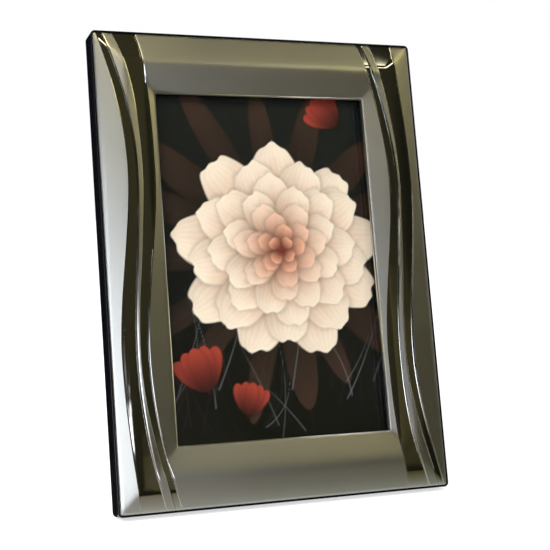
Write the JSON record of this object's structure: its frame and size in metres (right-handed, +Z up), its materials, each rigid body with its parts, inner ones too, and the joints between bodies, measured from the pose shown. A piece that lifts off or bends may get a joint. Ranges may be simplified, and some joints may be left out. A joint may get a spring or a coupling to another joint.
{
  "type": "silver-plated photo frame",
  "caption": "Free-standing portrait photo frame: cushioned silver-plated face with winding polished flutes, glazed window, black body, velvet back and folding easel leg.",
  "frame": {"origin": "middle of the bounding box on the table that the frame stands on", "axes": "+Z up from the table, +X across the face to the viewer's right, +Y from the face towards the easel leg"},
  "size_m": [0.1474, 0.0722, 0.1971],
  "materials": {
    "silver_plate": "satin silver plate with polished flutes",
    "black_lacquer": "black gloss lacquer",
    "clear_glass": "clear, polished edges",
    "photo_paper": "glossy photo print",
    "grey_card": "plain matt",
    "fibreboard": "hard fibreboard",
    "black_velvet": "short black pile",
    "brass_plate": "brass plated, bright",
    "plated_steel": "nickel plated"
  },
  "bodies": {
    "frame": {"face_panel": "silver_plate", "body_frame": "black_lacquer", "glass_pane": "clear_glass", "photo_print": "photo_paper", "backing_card": "grey_card", "back_board": "fibreboard", "back_velvet": "black_velvet", "board_leaf": "plated_steel", "hinge_pin": "plated_steel", "board_rivet_left": "plated_steel", "board_rivet_right": "plated_steel", "button_screw_1": "brass_plate", "button_screw_2": "brass_plate", "button_screw_3": "brass_plate", "button_screw_4": "brass_plate", "button_screw_5": "brass_plate"},
    "leg": {"strut": "fibreboard", "strut_velvet": "black_velvet", "strut_leaf": "plated_steel", "strut_rivet_upper": "plated_steel", "strut_rivet_lower": "plated_steel"},
    "button_1": {"turn_button_1": "brass_plate"},
    "button_2": {"turn_button_2": "brass_plate"},
    "button_3": {"turn_button_3": "brass_plate"},
    "button_4": {"turn_button_4": "brass_plate"},
    "button_5": {"turn_button_5": "brass_plate"}
  },
  "joints": [
    {"name": "strut_fold", "type": "hinge", "parent": "frame", "child": "leg", "pos_m": [0, 0.00502, 0.13122], "axis": [-1, 0, 0], "range_deg": [0, 25]},
    {"name": "button_1_turn", "type": "hinge", "parent": "frame", "child": "button_1", "pos_m": [-0.05875, 0.00464, 0.14433], "axis": [0, 0.9781, -0.2079], "continuous": true},
    {"name": "button_2_turn", "type": "hinge", "parent": "frame", "child": "button_2", "pos_m": [-0.05875, -0.01532, 0.05043], "axis": [0, 0.9781, -0.2079], "continuous": true},
    {"name": "button_3_turn", "type": "hinge", "parent": "frame", "child": "button_3", "pos_m": [0.05875, 0.00464, 0.14433], "axis": [0, 0.9781, -0.2079], "continuous": true},
    {"name": "button_4_turn", "type": "hinge", "parent": "frame", "child": "button_4", "pos_m": [0.05875, -0.01532, 0.05043], "axis": [0, 0.9781, -0.2079], "continuous": true},
    {"name": "button_5_turn", "type": "hinge", "parent": "frame", "child": "button_5", "pos_m": [0, 0.01207, 0.1793], "axis": [0, 0.9781, -0.2079], "continuous": true}
  ]
}
